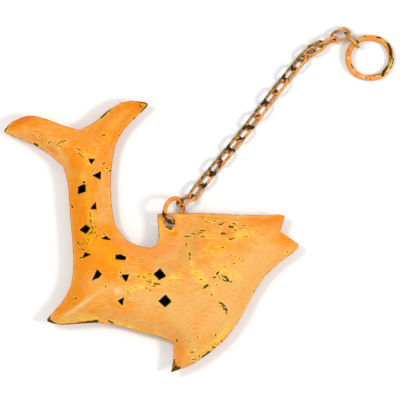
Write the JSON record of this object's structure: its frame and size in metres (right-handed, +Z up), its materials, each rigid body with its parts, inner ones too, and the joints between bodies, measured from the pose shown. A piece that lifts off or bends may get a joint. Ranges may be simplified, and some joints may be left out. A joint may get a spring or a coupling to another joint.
{
  "type": "hanging fish ornament",
  "caption": "Hollow fish of two pressed sheet-metal shells with punched holes, on a jump ring, an oval-link chain and a large hanging ring.",
  "frame": {"origin": "on the table under the middle of the whole object's bounding box, as it lies with its chain laid out", "axes": "+X towards the fish's head, +Y towards the chain's end, +Z up from the table through the front shell"},
  "size_m": [0.1952, 0.1728, 0.014],
  "materials": {
    "painted_sheet": "brushed orange paint over a yellow coat on dark iron sheet, rubbed through at edges and bosses",
    "painted_ring": "orange paint over a yellow coat on round iron wire, worn to dark metal where it rubs",
    "painted_chain": "thin orange and yellow paint on iron wire links, worn to dark metal at each crossing"
  },
  "bodies": {
    "fish": {"front_shell": "painted_sheet", "back_shell": "painted_sheet"},
    "fish_ring": {"fish_ring": "painted_ring"},
    "link_01": {"chain_link_01": "painted_chain"},
    "link_02": {"chain_link_02": "painted_chain"},
    "link_03": {"chain_link_03": "painted_chain"},
    "link_04": {"chain_link_04": "painted_chain"},
    "link_05": {"chain_link_05": "painted_chain"},
    "link_06": {"chain_link_06": "painted_chain"},
    "link_07": {"chain_link_07": "painted_chain"},
    "link_08": {"chain_link_08": "painted_chain"},
    "link_09": {"chain_link_09": "painted_chain"},
    "link_10": {"chain_link_10": "painted_chain"},
    "link_11": {"chain_link_11": "painted_chain"},
    "link_12": {"chain_link_12": "painted_chain"},
    "link_13": {"chain_link_13": "painted_chain"},
    "link_14": {"chain_link_14": "painted_chain"},
    "link_15": {"chain_link_15": "painted_chain"},
    "link_16": {"chain_link_16": "painted_chain"},
    "link_17": {"chain_link_17": "painted_chain"},
    "link_18": {"chain_link_18": "painted_chain"},
    "hanging_ring": {"hanging_ring": "painted_ring"}
  },
  "joints": [
    {"name": "fish_ring_swing", "type": "hinge", "parent": "fish", "child": "fish_ring", "pos_m": [-0.01467, -0.01121, 0.007], "axis": [0, 0, 1], "range_deg": [-12, 40]},
    {"name": "link_01_swing", "type": "hinge", "parent": "fish_ring", "child": "link_01", "pos_m": [-0.00894, -0.00156, 0.00434], "axis": [0.3069, -0.7785, -0.5474], "range_deg": [-80, 80]},
    {"name": "link_02_swing", "type": "hinge", "parent": "link_01", "child": "link_02", "pos_m": [-0.00287, 0.00181, 0.00287], "axis": [0.4123, -0.4096, 0.8137], "range_deg": [-80, 80]},
    {"name": "link_03_swing", "type": "hinge", "parent": "link_02", "child": "link_03", "pos_m": [0.00132, 0.00797, 0.00257], "axis": [0.634, -0.4684, -0.6153], "range_deg": [-80, 80]},
    {"name": "link_04_swing", "type": "hinge", "parent": "link_03", "child": "link_04", "pos_m": [0.00605, 0.01373, 0.00257], "axis": [-0.5495, 0.445, -0.7071], "range_deg": [-80, 80]},
    {"name": "link_05_swing", "type": "hinge", "parent": "link_04", "child": "link_05", "pos_m": [0.01085, 0.01943, 0.00257], "axis": [-0.5417, 0.4545, 0.7071], "range_deg": [-80, 80]},
    {"name": "link_06_swing", "type": "hinge", "parent": "link_05", "child": "link_06", "pos_m": [0.01564, 0.02513, 0.00257], "axis": [0.5417, -0.4545, 0.7071], "range_deg": [-80, 80]},
    {"name": "link_07_swing", "type": "hinge", "parent": "link_06", "child": "link_07", "pos_m": [0.02031, 0.03093, 0.00257], "axis": [0.5495, -0.445, -0.7071], "range_deg": [-80, 80]},
    {"name": "link_08_swing", "type": "hinge", "parent": "link_07", "child": "link_08", "pos_m": [0.025, 0.03672, 0.00257], "axis": [-0.5495, 0.445, -0.7071], "range_deg": [-80, 80]},
    {"name": "link_09_swing", "type": "hinge", "parent": "link_08", "child": "link_09", "pos_m": [0.02958, 0.0426, 0.00257], "axis": [-0.5572, 0.4353, 0.7071], "range_deg": [-80, 80]},
    {"name": "link_10_swing", "type": "hinge", "parent": "link_09", "child": "link_10", "pos_m": [0.03404, 0.04856, 0.00257], "axis": [0.5647, -0.4255, 0.7071], "range_deg": [-80, 80]},
    {"name": "link_11_swing", "type": "hinge", "parent": "link_10", "child": "link_11", "pos_m": [0.03853, 0.05451, 0.00257], "axis": [0.5647, -0.4255, -0.7071], "range_deg": [-80, 80]},
    {"name": "link_12_swing", "type": "hinge", "parent": "link_11", "child": "link_12", "pos_m": [0.04324, 0.06028, 0.00257], "axis": [-0.5495, 0.445, -0.7071], "range_deg": [-80, 80]},
    {"name": "link_13_swing", "type": "hinge", "parent": "link_12", "child": "link_13", "pos_m": [0.04793, 0.06607, 0.00257], "axis": [-0.5495, 0.445, 0.7071], "range_deg": [-80, 80]},
    {"name": "link_14_swing", "type": "hinge", "parent": "link_13", "child": "link_14", "pos_m": [0.05273, 0.07177, 0.00257], "axis": [0.5417, -0.4545, 0.7071], "range_deg": [-80, 80]},
    {"name": "link_15_swing", "type": "hinge", "parent": "link_14", "child": "link_15", "pos_m": [0.0575, 0.07577, 0.00257], "axis": [0.4731, -0.5255, -0.7071], "range_deg": [-80, 80]},
    {"name": "link_16_swing", "type": "hinge", "parent": "link_15", "child": "link_16", "pos_m": [0.06222, 0.078, 0.00321], "axis": [-0.403, 0.7673, -0.4988], "range_deg": [-80, 80]},
    {"name": "link_17_swing", "type": "hinge", "parent": "link_16", "child": "link_17", "pos_m": [0.06811, 0.08114, 0.00321], "axis": [-0.1215, 0.2285, 0.9659], "range_deg": [-65, 80]},
    {"name": "link_18_swing", "type": "hinge", "parent": "link_17", "child": "link_18", "pos_m": [0.07318, 0.08339, 0.0033], "axis": [0, 0, 1], "range_deg": [-8, 140]},
    {"name": "hanging_ring_flip", "type": "hinge", "parent": "link_18", "child": "hanging_ring", "pos_m": [0.07777, 0.0783, 0.0033], "axis": [-0.7431, -0.6691, 0], "range_deg": [-90, 90]}
  ]
}
